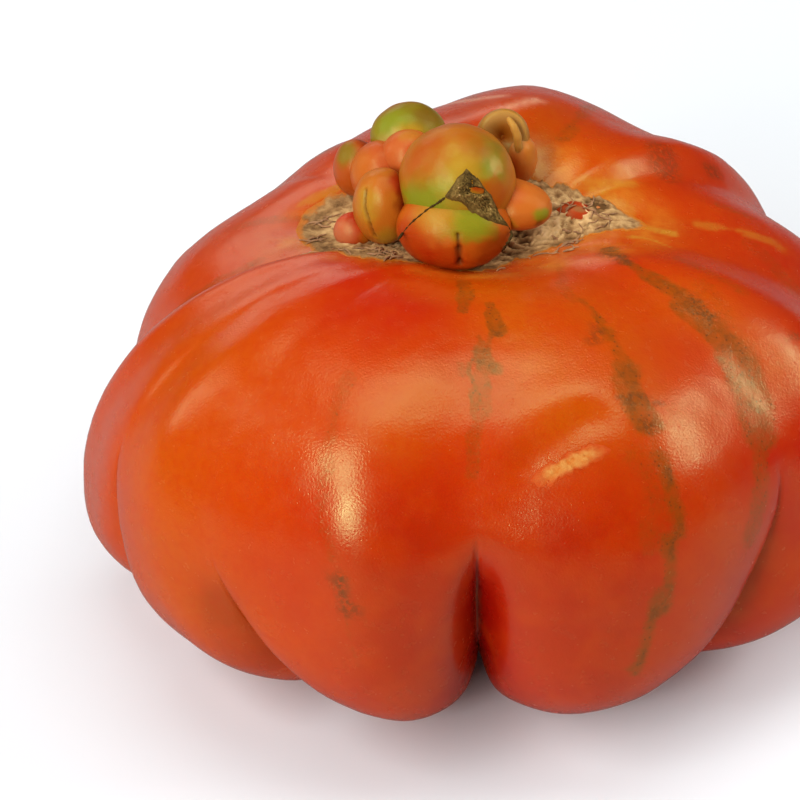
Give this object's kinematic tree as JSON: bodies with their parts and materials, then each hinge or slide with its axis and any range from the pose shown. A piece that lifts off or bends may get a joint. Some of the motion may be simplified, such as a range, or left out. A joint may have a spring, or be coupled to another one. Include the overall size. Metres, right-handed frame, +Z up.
{
  "type": "tomato",
  "caption": "Ribbed beefsteak tomato with deep grooves and a corky blossom scar carrying small fused fruitlets, lying blossom end up.",
  "frame": {"origin": "middle of the fruit's footprint, at the level it rests on", "axes": "+Z up through the blossom end, -Y towards the two front lobes, +X to their right"},
  "size_m": [0.124, 0.124, 0.0772],
  "materials": {
    "tomato_skin": "smooth waxy skin, red to orange-red, with olive streaks and a tan corky blossom scar"
  },
  "bodies": {
    "root": {"tomato": "tomato_skin"}
  },
  "joints": []
}
